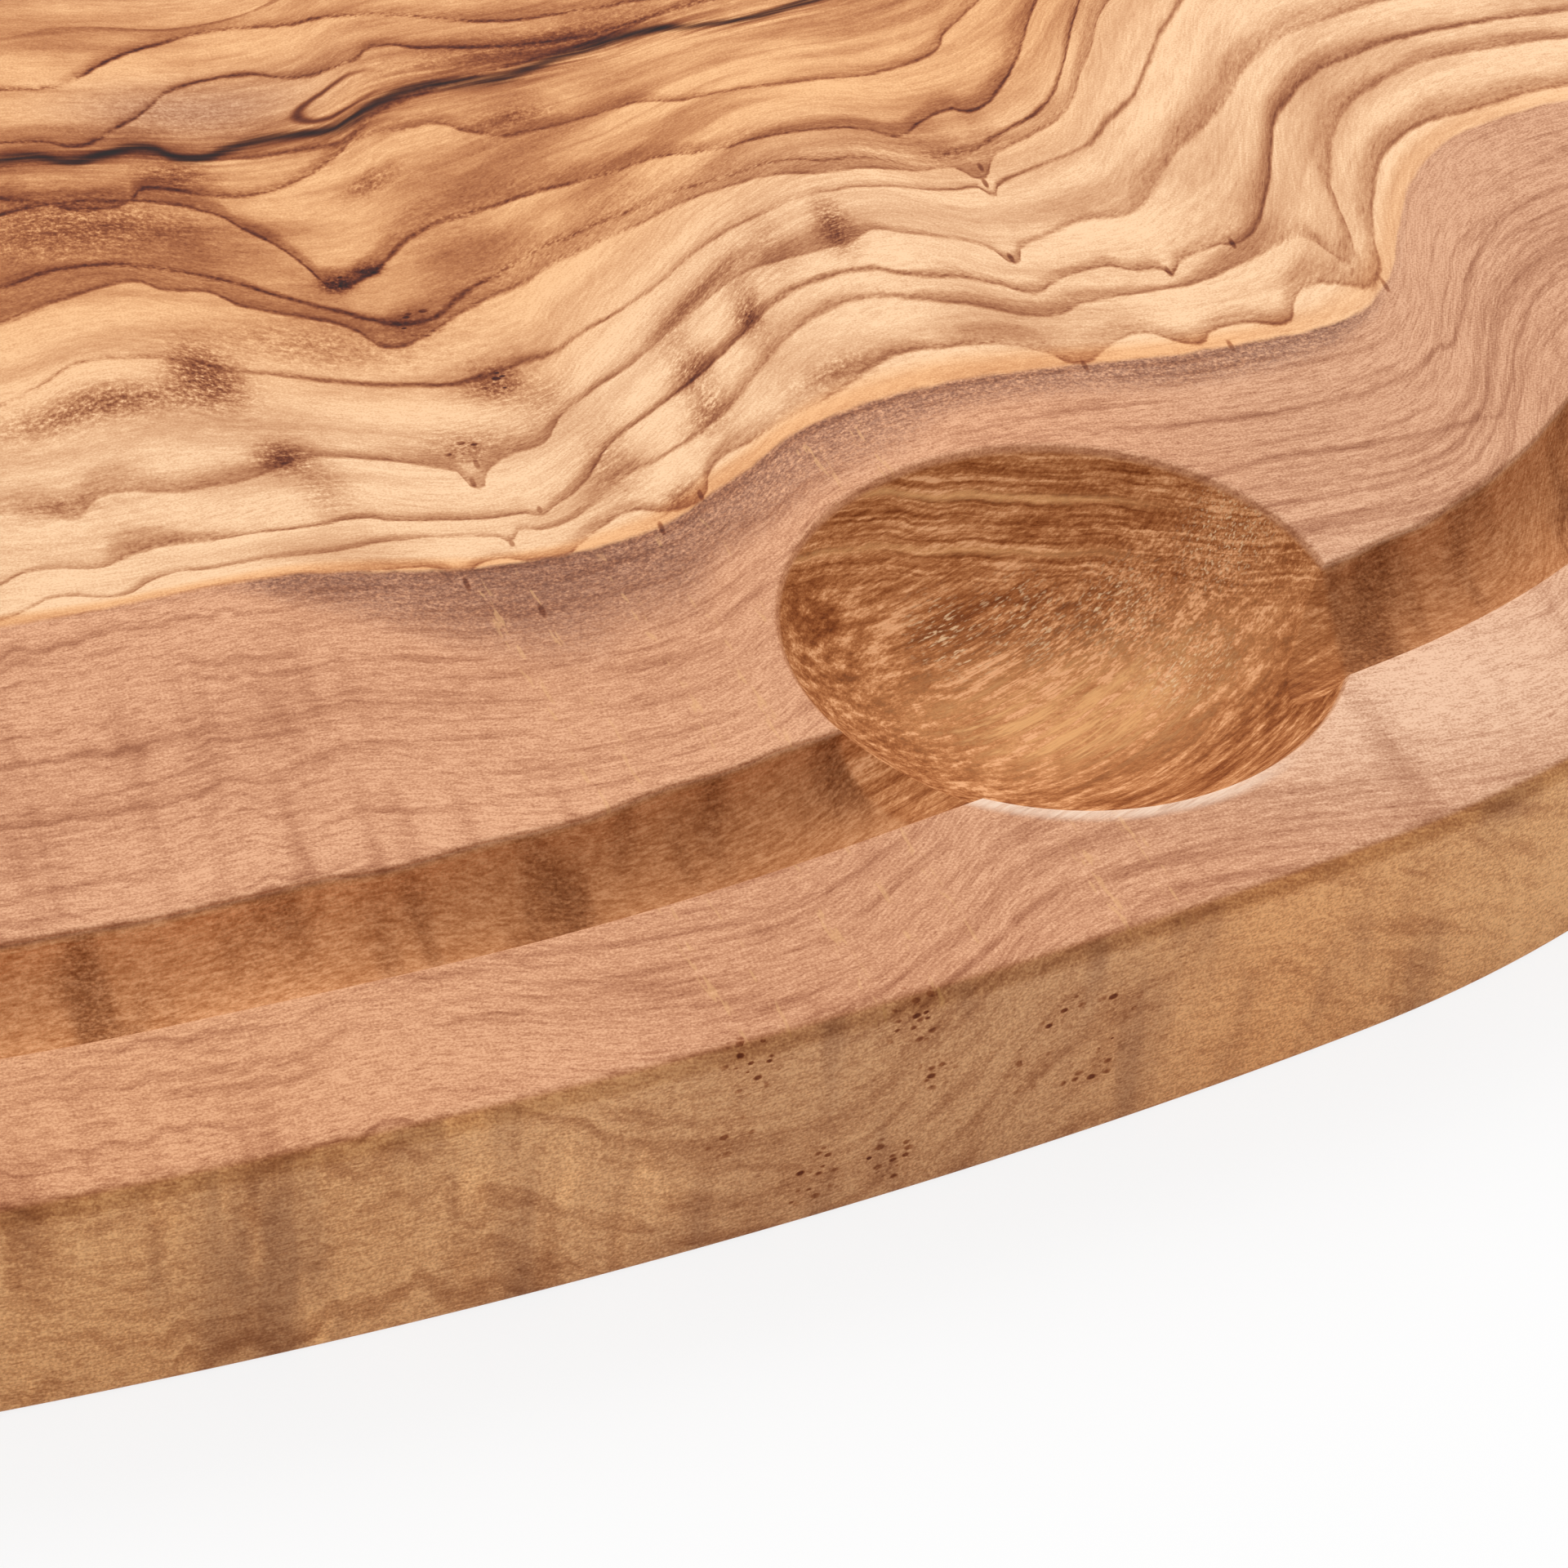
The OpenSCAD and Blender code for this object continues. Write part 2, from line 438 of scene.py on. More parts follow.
def shade(colour, level):
    """A colour made lighter or darker."""
    return grain.node("ShaderNodeVectorMath", {"operation": "SCALE"}, {0: colour, "Scale": level})


def picks(value):
    """Three numbers from 0 to 1, picked anew for each whole value."""
    return axes(grain.node("ShaderNodeTexWhiteNoise", {"noise_dimensions": "1D"}, {"W": value}, "Color"))


def rgb(red, green, blue):
    """A colour for a colour socket."""
    return (red, green, blue, 1.0)


def patch(first, second, centre, reach):
    """A soft oval patch: one at its middle, and fading over its reach."""
    off_first, off_second = (first - centre[0]) / reach[0], (second - centre[1]) / reach[1]
    return (0.0 - off_first * off_first - off_second * off_second).exp()


object_place = grain.node("ShaderNodeTexCoord", {}, {}, "Object")
place = shade(object_place, MM)
x, y, z = axes(place)
depth = THICKNESS * MM - z

# Distance inside the board's edge, from the nearer of the oval's arcs
long_x, long_y = abs(x), abs(y) + SIDE_CENTRE * MM
side_inset = SIDE_RADIUS * MM - (x * x + long_y * long_y) ** 0.5
end_x = long_x - END_CENTRE * MM
end_inset = END_RADIUS * MM - (end_x * end_x + y * y) ** 0.5
at_end = long_x.math("GREATER_THAN", long_x, long_y * (END_CENTRE / SIDE_CENTRE))
edge_inset = side_inset + (end_inset - side_inset) * at_end

# Where the rings come to the face: the courses of four of them, as places along and across the board. Far
# from FIGURE_MIDDLE the rings roll freely too, and they lean by RING_SLANT for each millimetre down.
COURSES = {
    "sap": [(-200, -38), (-150, -52), (-100, -46), (-60, -54), (-20, -57), (12, -61), (34, -60), (52, -63),
            (63, -62), (73, -57), (84, -50), (96, -48), (118, -49), (130, -48), (137, -43), (141, -36),
            (147, -27), (155, -22), (168, -20), (200, -26)],
    "outer": [(-200, -18), (-140, -36), (-60, -40), (-20, -48), (14, -54), (26, -55), (40, -53), (54, -56),
              (62, -52), (70, -46), (79, -38), (88, -31), (97, -29), (106, -34), (118, -36), (125, -34),
              (132, -26), (138, -15), (147, -7), (158, -4), (200, -10)],
    "inner": [(-200, 2), (-120, -20), (-60, -22), (0, -32), (18, -33), (26, -31), (38, -35), (52, -40),
              (60, -40), (66, -35), (75, -26), (85, -17), (95, -13), (106, -17), (114, -15), (123, -4),
              (130, 6), (150, 18), (200, 20)],
    "heart": [(-200, 30), (-130, 8), (-70, 14), (-20, 7), (24, 5), (34, 3), (44, 1), (51, 2), (58, 6),
              (66, 7), (78, 8), (88, 11), (104, 14), (130, 28), (160, 38), (200, 40)],
}
FIGURE_MIDDLE = 84.0
RING_SLANT = 0.45
FAR_SPREAD = 0.95
BOARD_SPAN = (-200.0, 200.0)
COURSE_RISE = (-80.0, 60.0)


def course(points, span, rise):
    """A line drawn through points along the board."""
    shares = [((point[0] - span[0]) / (span[1] - span[0]), (point[1] - rise[0]) / (rise[1] - rise[0]))
              for point in points]
    along_span = ((x - span[0]) / (span[1] - span[0])).above(0.0).below(1.0)
    drawn = grain.node("ShaderNodeFloatCurve", {"points": shares}, {"Value": along_span})
    return drawn * (rise[1] - rise[0]) + rise[0]


shake = noise(place, (13.0, 7.0, 11.0), 3.0) * 0.25
roll = noise(place, (46.0, 34.0, 30.0), 2.0) * 4.0 * ease(abs(x - FIGURE_MIDDLE), 80.0, 130.0)
ring_y = y + shake + roll - depth * RING_SLANT
sap_y, outer_y, inner_y, heart_y = [course(COURSES[name], BOARD_SPAN, COURSE_RISE) for name in COURSES]


def between(low, high):
    """Zero at one ring and one at the next, across the board."""
    share = (ring_y - low) / (high - low)
    return share.above(0.0).below(1.0)


# The ring that a place lies on: zero where the outer wood starts, and falling through the heart to the far
# side
OUTER_RING, INNER_RING, HEART_RING = 14.0, 20.0, 34.0
ring = ((sap_y - ring_y).above(0.0) - between(sap_y, outer_y) * OUTER_RING
        - between(outer_y, inner_y) * INNER_RING - between(inner_y, heart_y) * HEART_RING
        - (ring_y - heart_y).above(0.0) * FAR_SPREAD)
HEART = -(OUTER_RING + INNER_RING + HEART_RING)
age = abs(ring - HEART) + HEART
ring_place = vector(x, ring, z)

# Year bands: the outer edge of each as places along the board and rings, its breadth, and how dark it and
# its edge are
YEAR_BANDS = [
    ([(10, 1.8), (15, 1.2), (18, 0.4), (22, 1.3), (27, 0.4), (33, 0.2), (39, 0.4), (43, -0.2), (47, -0.4),
      (48.8, 1.4), (50.2, -0.4), (52.2, -1.4), (54.2, 0), (57.4, 0.2), (59.4, -1.8), (62, -3.4), (64, -3.8),
      (66, -2.2), (68.4, -0.6), (70.4, -0.2), (71.8, -2.6), (74, -3.2), (77, -2.4), (80, -1.8), (87, -2.4),
      (90.5, -3.6), (96, -3.6), (101, -3.2), (104, -2.2), (107, 0), (109, -1.4), (111.6, -3.4),
      (113.6, -3.8), (116, -1.8), (117.8, -1), (119.5, -2.6), (123, -2.6), (126, -1.5), (129, -4.4),
      (132.5, -3), (136.5, -0.6), (139, -2.8), (146, -3.6), (155, -2), (160, -2)],
     1.7, 0.50, 0.70),
    ([(10, -0.8), (12.6, -1.4), (14.6, -3), (16.6, -5.2), (18.2, -5), (20.2, -3.4), (22.2, -2.8),
      (24.2, -5.2), (26.6, -6.6), (29, -5.6), (33, -5), (38.2, -4.5), (40.2, -5), (43.4, -6.4), (49, -7.8),
      (52.6, -7), (53.6, -5.2), (54.6, -7.8), (57, -6.6), (60.6, -7), (62.6, -8.2), (65, -9), (68, -8.4),
      (74, -7.6), (80, -8.8), (85, -10), (90, -10.4), (95, -9.4), (99, -8), (103, -7.4), (106.8, -7),
      (109.6, -8.8), (113, -9.8), (119, -10), (128, -10), (132.5, -7.5), (135.5, -3), (138, -7.8),
      (150, -9), (160, -8.5)],
     1.6, 0.55, 0.45),
    ([(10, -9), (13, -10.4), (15, -13), (17, -13.4), (21, -12.6), (22.6, -14), (25, -14.8), (29, -14.6),
      (32, -13.6), (35.4, -12.2), (38.2, -11.5), (43, -12.4), (45, -11.6), (49, -12.4), (53, -12.2),
      (55.8, -11.8), (56.8, -10.2), (58.2, -11.2), (61, -11.4), (63, -13.2), (65, -14.8), (70, -14.6),
      (74, -13.8), (82, -13.8), (90, -13.4), (94, -12.6), (97, -11.4), (103.6, -11.3), (106.4, -10.6),
      (108.4, -12.2), (111, -13.8), (114, -14.6), (116, -13.6), (118.2, -13.4), (119, -12), (120, -13.6),
      (124.5, -13.8), (126, -12.8), (130, -13), (135, -14), (142, -13.6), (150, -12.6), (160, -12.4)],
     1.2, 0.62, 0.80),
    ([(10, -21), (15, -20.8), (18.2, -20.2), (20.2, -19.4), (22.6, -21.4), (25, -21.2), (29, -20.4),
      (33, -20.2), (37, -21.2), (39.4, -22.6), (45, -23), (49, -22.6), (51.6, -21.4), (52.6, -18.2),
      (54.2, -21), (56.6, -22.8), (59.4, -22.4), (62.5, -25.8), (65, -25.4), (70, -23.6), (73, -23.2),
      (80, -22.4), (83, -21.2), (86.4, -19.4), (90, -18.2), (93, -17.8), (95.6, -19), (98.4, -17.8),
      (104.6, -18.2), (106, -15.4), (107.4, -18.4), (111, -20.6), (114, -21.6), (119, -20.6), (125, -22),
      (132, -21), (140, -19), (160, -17.6)],
     2.4, 0.55, 0.40),
    ([(10, -34), (17.4, -35), (20, -35.8), (23.4, -37), (29, -37), (38, -36.4), (43, -36), (51, -35.8),
      (55, -35.6), (61, -36.3), (65, -35), (68, -34.2), (71, -32.6), (74.4, -31.2), (78, -30.6),
      (82, -29.6), (89, -28.2), (96, -27.7), (100, -28.2), (104, -29.2), (106.8, -29.4), (107.6, -27.6),
      (108.6, -29.6), (112.4, -30.5), (120, -29.4), (126, -28.2), (132, -29.5), (160, -28)],
     0.8, 0.30, 0.60),
    ([(10, -44), (25, -46), (31.6, -48), (33.2, -47), (37, -47.2), (39.2, -45.4), (42.4, -44.6),
      (45.6, -44), (48, -42.6), (50, -40.4), (54, -41.4), (57.2, -42.8), (61, -43.8), (66, -43.2),
      (70, -42.2), (74, -41), (79.6, -38.6), (85.6, -35.8), (89.6, -33.4), (94.4, -31.2), (98.4, -31.8),
      (102, -32.8), (105.4, -33.8), (107.4, -31), (109.6, -34.4), (113, -35), (119, -34.6), (130, -36),
      (160, -38)],
     5.2, 0.52, 0.50),
    ([(10, -47), (35, -50), (45, -46), (54, -42.8), (58, -44.6), (61.6, -45.7), (66, -45.3), (70, -44.4),
      (74, -43.2), (79.2, -41), (84, -38.4), (88, -36.6), (92, -35), (94.8, -33.4), (98, -33.8),
      (102, -34.2), (104.8, -35.8), (108, -35.8), (111, -37), (115.6, -37.4), (120, -38.6), (127, -42),
      (160, -46)],
     1.3, 0.62, 0.85),
    ([(10, -56), (35, -60), (40, -58.5), (41.6, -56.6), (44, -54.2), (46, -51), (47.6, -48.2), (51, -49.2),
      (54, -51.2), (57.2, -52.4), (61, -52.8), (65, -52.2), (69, -51.2), (73, -49.8), (79.6, -47.4),
      (85, -43.4), (90, -41), (95, -40), (100, -39.8), (102, -39.4), (105, -42), (108, -43.2), (110, -42),
      (113, -43), (117, -46), (121, -49), (160, -56)],
     2.0, 0.60, 0.75),
    ([(10, -60), (20, -61.6), (25, -60.5), (29, -58.6), (33, -60), (34.5, -62), (40, -61.2), (45, -61.5),
      (60, -67), (160, -70)],
     1.6, 0.60, 0.70),
    ([(10, -64), (50, -66), (55, -64.6), (58.4, -63.8), (62, -63.6), (64.8, -61.4), (67.2, -59.8),
      (71.2, -59), (80, -57.6), (85, -54), (90, -52), (95, -51), (100, -51), (105, -52), (110, -53),
      (112, -55), (160, -60)],
     1.5, 0.45, 0.45),
    ([(10, -70.5), (24, -69.6), (27.2, -69.4), (30, -68.6), (32.4, -69.8), (34, -71.4), (36, -73),
      (38, -75.4), (39.6, -77.2), (44, -79), (47.2, -78.8), (50.4, -76.8), (53.6, -75.4), (57.2, -74.4),
      (59.4, -75.6), (64, -74), (72, -72), (85, -71), (160, -73)],
     1.1, 0.40, 0.90),
    ([(10, -77.5), (25.2, -78), (29.6, -78.1), (32, -79.4), (34.4, -81.4), (37.2, -83.4), (40, -85),
      (44, -86.4), (47.2, -86.4), (51.2, -85), (54.4, -83.4), (57.2, -81.8), (60.4, -80.6), (64, -79.4),
      (68, -77.4), (72, -76.2), (79.2, -75.4), (90, -73), (160, -77)],
     1.4, 0.42, 0.95),
]
BAND_SPAN = (10.0, 160.0)
BAND_RISE = (-92.0, 8.0)
along = noise(ring_place, (15.0, 3.0, 14.0), 2.0)
swell = noise(vector(x, ring / 3.0, z), (13.0, 4.0, 13.0), 1.0)
jitter = noise(ring_place, (2.2, 1.2, 2.2), 2.0) * 0.16
speck = noise(ring_place, (0.42, 0.26, 0.30), 1.0)
brown, line = 0.0, 0.0
for points, breadth, band_share, line_share in YEAR_BANDS:
    within = course(points, BAND_SPAN, BAND_RISE) - ring + jitter
    reach = (1.0 + swell * 0.9).above(0.3) * breadth
    body = ease(within / reach, 1.45, 0.4) * 0.75 + (0.0 - abs(within) / reach * 0.6).exp() * 0.6
    brown = (ease(within, -0.45, 0.35) * body * band_share).above(brown)
    line = ((0.0 - within * within * 13.0).exp() * line_share).above(line)

# Past the heart the bands are each year's own: pale turning to brown outwards, and ending in a dark line
YEAR_BREADTH = 5.4
year_place = age / YEAR_BREADTH + noise(vector(age, x / 50.0, z / 50.0), (8.0, 1.0, 1.0), 1.0) * 0.9
year = year_place.math("FLOOR", year_place)
part = year_place - year
weight, span_share, edge = picks(year)
ending = ease(part, 1.0, 0.97)
far_brown = ease((part - 1.0) / (0.22 + span_share * 0.6), -1.0, -0.05) * ending * (0.10 + weight * 0.60)
far_line = ease(part, 0.88, 0.94) * ending * (0.15 + edge * 0.75)
far = ease(ring, -84.0, -92.0)
brown = brown * (1.0 - far) + far_brown * far
line = line * (1.0 - far) + far_line * far
brown = (brown * (1.10 + along * 0.6 + speck * 0.35)).above(0.0)
line = (line * (0.72 + along * 1.0 + speck * 0.40)).above(0.0)
FINE_BREADTH = 1.25
fine_place = ring / FINE_BREADTH + along * 0.4
fine = fine_place.math("FRACT", fine_place)
fine_line = ease(fine, 0.45, 0.9) * ease(fine, 1.0, 0.93) * ease(swell, -0.5, 0.7)


def oval(centre, reach):
    """Distance from the middle of an oval mark on the rings, as a share of its reach."""
    off = arrow("DIVIDE", arrow("SUBTRACT", vector(x, ring, 0.0), (*centre, 0.0)), (*reach, 1.0))
    return arrow("LENGTH", off, (0.0, 0.0, 0.0), "Value")


# Heart: streaks along a black line with strands beside it, and a loop on its far side
strands = noise(ring_place, (9.0, 0.55, 6.0), 2.0)
streaks = noise(ring_place, (24.0, 1.7, 10.0), 3.0)
heart_course = course([(10, -66.5), (23.4, -67), (26, -67.2), (29.2, -66.2), (32, -67.2), (34.8, -68.2),
                       (37, -68), (38, -67.2), (40.8, -67), (42.8, -68), (46, -68.6), (49.6, -68.2),
                       (52, -67.4), (54.8, -67), (58, -67.6), (61.6, -68.2), (66, -67.8), (70, -67.4),
                       (73.2, -68.2), (76, -69), (85, -69), (90, -67.3), (95, -66.5), (100, -67),
                       (160, -68)], BAND_SPAN, BAND_RISE)
heart_off = ring - heart_course
heart_line = (0.0 - heart_off * heart_off * (3.4 + along * 1.6)).exp()
beside_heart = (0.0 - abs(heart_off) / 1.7).exp() * (0.60 + strands * 0.9)
LOOP_PLACE, LOOP_REACH = (55.0, -70.7), (4.8, 2.1)
loop = oval(LOOP_PLACE, LOOP_REACH) - 1.0
loop_line = (0.0 - loop * loop * 60.0).exp() * ease(x, 60.0, 53.0)

# Dark stippled smudges and soft bars across the bands: the place of each on the rings, its reach and its
# strength
SMUDGES = [((34.2, -35), (2.6, 3.6), 1.10), ((38.0, -23), (1.8, 2.2), 1.00),
           ((92.3, -21), (1.5, 4.4), 0.85), ((25.0, -31.7), (8.0, 1.9), 0.75),
           ((74.0, -9), (2.2, 2.0), 0.40), ((74.5, -15), (2.0, 2.0), 0.45),
           ((81.0, -15.5), (1.4, 2.2), 0.60), ((77.0, -24.5), (5.0, 1.6), 0.40),
           ((19.0, -21), (3.0, 1.4), 0.35), ((27.0, -56.5), (10.0, 5.0), 0.75),
           ((54.5, -59.5), (2.6, 1.3), 0.45), ((69.0, -61.5), (4.0, 1.5), 0.45),
           ((57.5, -34.5), (2.8, 2.6), 0.55), ((105.5, -36), (2.0, 1.1), 0.55),
           ((45.0, -40.5), (8.5, 2.8), 0.36), ((53.5, -25.5), (4.0, 3.0), 0.36),
           ((40.5, -18), (2.0, 5.0), 0.28), ((74.0, -16), (2.0, 9.0), 0.28),
           ((81.5, -17), (1.6, 8.0), 0.26), ((64.0, -12), (2.4, 7.0), 0.28),
           ((86.0, -23), (2.0, 7.0), 0.22), ((61.0, -29), (2.6, 5.0), 0.26),
           ((68.5, -2.2), (2.0, 1.4), 0.50), ((86.0, -4), (4.0, 1.4), 0.40),
           ((37.5, -64), (3.0, 2.2), 0.60), ((75.0, -71.5), (13.0, 2.2), 0.50),
           ((47.9, -48.4), (1.3, 0.9), 1.60), ((50.8, -49.6), (1.3, 0.6), 1.20),
           ((39.5, -73.5), (9.0, 4.0), 0.25)]
stipple = noise(ring_place, (0.34, 0.30, 0.30), 2.0, 0.6)
mottle = noise(ring_place, (1.3, 0.55, 0.8), 2.0)
smudge = 0.0
for centre, reach, strength in SMUDGES:
    smudge = smudge + patch(x, ring, centre, reach) * strength
smudge = smudge * (1.05 + stipple * 1.05 + mottle * 0.55 + along * 0.3)

# Buds that never broke: small dark almonds, where the bands come to a point
BUDS = [(48.8, 2.2), (53.6, -4.6), (56.9, -11.6), (52.5, -19.2), (53.4, -22.2), (107.0, 0.4),
        (106.0, -16.4), (107.5, -30.0), (107.9, -33.0), (118.8, -12.6), (120.2, 0.2), (125.8, -13.0),
        (136.6, 0.4), (65.9, 0.4), (70.2, -0.6), (53.8, 6.5)]
BUD_REACH = (0.24, 0.90)
almond = 10.0
for bud in BUDS:
    almond = oval(bud, BUD_REACH).below(almond)

# Pin knots: clusters of small dark eyes, on the face and on the front wall, with each cluster's reach
PIN_KNOTS = [(48, -21, 20, 2.4), (51, -20, 20, 1.8), (53, -29, 20, 3.0), (58, -39, 20, 2.4),
             (53, -48, 20, 2.0), (69, -120, 18, 3.0), (71, -120, 12, 2.0), (79, -119, 9, 2.6),
             (81, -118, 13, 2.0), (82, -118, 15, 1.8), (86, -117, 13, 2.4), (85, -118, 7, 2.0),
             (83, -118, 6, 1.6), (86, -118, 9, 1.6), (61, -121, 5, 3.6), (67, -120, 4, 3.2),
             (56, -122, 18, 3.2), (54, -122, 12, 3.0)]
knot_area = 0.0
for knot_x, knot_y, knot_z, reach in PIN_KNOTS:
    off = arrow("DISTANCE", place, (knot_x, knot_y, knot_z), "Value")
    knot_area = ease(off, reach, reach * 0.5).above(knot_area)
EYE_STRETCH, EYE_SCALE = (0.66, 1.05, 0.95), 1.2
eye_node = grain.node("ShaderNodeTexVoronoi", {"voronoi_dimensions": "3D"},
                      {"Vector": arrow("MULTIPLY", place, EYE_STRETCH), "Scale": EYE_SCALE}, "Distance")
eye_size, eye_strength, _ = axes(Flow(wood_tree, eye_node.socket.node.outputs["Color"]))
eye = ease(eye_node / (0.40 + eye_size * 0.60), 0.46, 0.24) * (0.5 + eye_strength * 0.7)
on_face = ease(ring, 2.0, -2.0)
halo = (0.24 + stipple * 0.25).above(0.0) * (0.35 + on_face * 0.65)
knots = knot_area * (eye * (1.25 + on_face * 0.55) + halo)

# The outer wood: low contrast, with faint wavy lines that follow the rings, and two that stand out
clouds = noise(place, (34.0, 14.0, 12.0), 3.0)
chatter = noise(place, (3.2, 26.0, 16.0), 1.0) * 0.9 * ease(x, 52.0, 30.0)
outer_ring = ring + chatter
ripple = noise(vector(x, outer_ring, z), (11.0, 1.1, 9.0), 3.0)
outer_streak = ease(noise(vector(outer_ring, x / 30.0, z / 20.0), (2.0, 3.0, 3.0), 2.0), 0.2, 1.0)
OUTER_LINES = [[(10, 6), (85, 7), (100, 9), (120, 10), (130, 10), (137, 11), (141, 14.5), (150, 13),
                (160, 12)],
               [(10, 15), (110, 17), (120, 16), (130, 17), (137, 21), (142, 25), (150, 23), (160, 22)]]
outer_line = 0.0
for points in OUTER_LINES:
    within = course(points, BAND_SPAN, (0.0, 30.0)) - ring + jitter * 2.0
    outer_line = (0.0 - within * within * 5.0).exp().above(outer_line)
outer_line = outer_line * ease(x, 92.0, 112.0) * (0.7 + along * 0.4)

# A dark stippled stain lies along the outside of the bands, as far out as this course
stain_reach = course([(10, 0.3), (28, 0.8), (35, 4), (42, 8), (50, 12), (56, 14), (60, 12), (65, 12),
                      (70, 8), (80, 8), (88, 7), (95, 4), (110, 4), (125, 3.5), (134, 1.5), (140, 0.3),
                      (160, 0.3)], BAND_SPAN, (0.0, 20.0))
stain_share = (ring + clouds * 1.5) / (stain_reach + 0.5)
stain = ease(stain_share, 1.2, 0.15) * ease(stain_reach, 0.3, 3.0).above(0.15)
stain = stain * (0.85 + clouds * 0.45 + stipple * 0.85)

# Curl: soft bars square to the grain, in patches, the nearest of them on the paler wood right of the well
PALE_PLACE, PALE_REACH = (118.0, -96.0), (27.0, 15.0)
curl = noise(place, (3.6, 46.0, 34.0), 2.0)
pale = patch(x, y, PALE_PLACE, PALE_REACH)
curl_area = (ease(noise(place, (40.0, 26.0, 20.0), 1.0), -0.3, 0.7) * ease(ring, 6.0, 18.0)).above(pale)

# Fibres and pores, which lie along the grain
fibre_place = vector(x, ring * 0.8 + y * 0.2, z)
fibre = noise(fibre_place, (1.6, 0.19, 0.22), 2.0, 0.65)
grit = noise(place, (0.22, 0.18, 0.20), 1.0)
pores = ease(noise(fibre_place, (0.9, 0.15, 0.18), 2.0), 0.3, 1.1)

# Each wood is a light colour seen through what is in it, and the heart has one greyish patch
CREAM = rgb(0.990, 0.650, 0.388)
HEART_GOLD = rgb(0.935, 0.530, 0.255)
HEART_GREY = rgb(0.740, 0.430, 0.255)
BORDER_LIGHT = (0.94, 0.78, 0.62)
OUTER_LEFT = rgb(0.842, 0.452, 0.260)
OUTER_RIGHT = rgb(0.785, 0.438, 0.262)
OUTER_PALE = rgb(0.890, 0.565, 0.378)
RIM_LEFT = rgb(0.830, 0.430, 0.225)
GREY_PLACE, GREY_REACH = (41.5, -74.0), (11.5, 4.5)
in_outer = ease(ring + jitter, -0.2, 0.5)
in_heart = ease(age, -22.0, -50.0)
wash = noise(ring_place, (22.0, 5.0, 14.0), 3.0)
heart_wash = ease(wash, -0.1, 0.9) * ease(abs(ring - HEART), 30.0, 10.0) * (0.8 + stipple * 0.5)
bands_dark = (ease(wash, -0.5, 1.0) * 0.30 + in_heart * ease(x, 75.0, 40.0) * 0.06 + fine_line * 0.07
              + brown * (0.62 + in_heart * 0.15) + line * (0.72 + in_heart * 0.85) + mottle * 0.06
              + ease(streaks, 0.1, 1.0) * ease(abs(ring - HEART), 28.0, 8.0) * 0.26 + heart_wash * 0.34
              + beside_heart.above(0.0) * 1.25 + loop_line * 1.7 + smudge.above(0.0)
              + pores * (brown * 0.35 + 0.10) + fibre * 0.09 + grit * 0.13)
bands = tint(in_heart, CREAM, HEART_GOLD)
bands = tint(patch(x, ring, GREY_PLACE, GREY_REACH), bands, HEART_GREY)
bands = soak(bands, bands_dark.above(0.0), BAND_LIGHT)
bands = soak(bands, ease(ring + jitter, -3.2, -0.8) * (1.0 - ease(x, 116.0, 136.0) * 0.55), BORDER_LIGHT)
bands = soak(bands, heart_line * (0.95 + strands * 0.5).above(0.0) * 2.1, SMOKE_LIGHT)
outer_dark = (0.17 + clouds * 0.09 + outer_line.above(0.0) * 0.45
              + (ease(ripple, -0.1, 1.1) * 0.36 + outer_streak * 0.30) * (1.0 - pale * 0.65)
              + ease(curl, -0.1, 1.0) * curl_area * 0.35 - pale * 0.12
              + pores * 0.30 + fibre * 0.20 + grit * 0.26 + mottle * 0.10
              + ease(y, -95.0, -104.0) * ease(depth, 1.5, 0.5) * ease(x, 35.0, 70.0) * (1.0 - pale) * 0.10)
outer = tint(ease(x, 95.0, 125.0), OUTER_LEFT, OUTER_RIGHT)
outer = tint(pale, outer, OUTER_PALE)
outer = tint(ease(x, 60.0, 10.0) * ease(y, -95.0, -110.0) * 0.8, outer, RIM_LEFT)
outer = soak(outer, outer_dark.above(0.0), OUTER_LIGHT)
outer = soak(outer, stain.above(0.0) * 0.70, STAIN_LIGHT)
figure = tint(in_outer, bands, outer)
figure = soak(figure, knots + ease(almond, 1.3, 0.5) * (0.6 + along * 0.5).above(0.0), BAND_LIGHT)

# Pale rays, in line with the buds
RAY_COLOUR = rgb(0.80, 0.44, 0.20)
RAY_ROWS = [(50.2, 0.8), (53.8, 0.5), (61.0, 0.8), (66.0, 0.7), (70.4, 0.6), (82.0, 1.5), (87.0, 1.0)]
ray = ease(noise(vector(x + y * 0.12, y, z), (0.42, 2.6, 2.6), 1.0), 0.3, 0.6)
ray_area = 0.0
for row_x, spread in RAY_ROWS:
    ray_area = ease(abs(x + (y + 70.0) * 0.10 - row_x), spread, spread * 0.4).above(ray_area)
figure = tint(ray * ray_area * ease(ring, 0.5, 2.5) * ease(depth, 2.0, 0.5) * 0.45, figure, RAY_COLOUR)

# Cut surfaces drink more oil: the wall, the groove and the well are deeper in colour and rougher. A thin
# line of painted shade runs along the rounded edges and the lips.
WALL_LIGHT = (1.0, 1.04, 0.88)
WALL_RIGHT_LIGHT = (1.02, 0.90, 0.76)
wall = ease(edge_inset, 0.95, 0.60) * ease(z, 0.0, 0.6)
hollow = ease(depth, 0.25, 0.75) * ease(edge_inset, 5.0, 9.0) * ease(z, 4.0, 6.0)
# Painted shade: a thin darker, more orange line along the rounded top edge and along the lips of the groove
# and the well
arris_shade = (ease(edge_inset, 1.2, 0.8) * ease(z, 18.2, 19.2)
         + ease(depth, 0.03, 0.20) * ease(edge_inset, 5.0, 9.0) * 0.8)
well_off = arrow("DISTANCE", vector(x, y, 0.0), (WELL_X * MM, WELL_Y * MM, 0.0), "Value")
in_well = ease(well_off, WELL_RADIUS * MM + 0.4, WELL_RADIUS * MM - 0.6) * hollow
TEAR_TURN = (0.91, 0.41)
torn_place = vector(x * TEAR_TURN[0] + y * TEAR_TURN[1], y * TEAR_TURN[0] - x * TEAR_TURN[1], z)
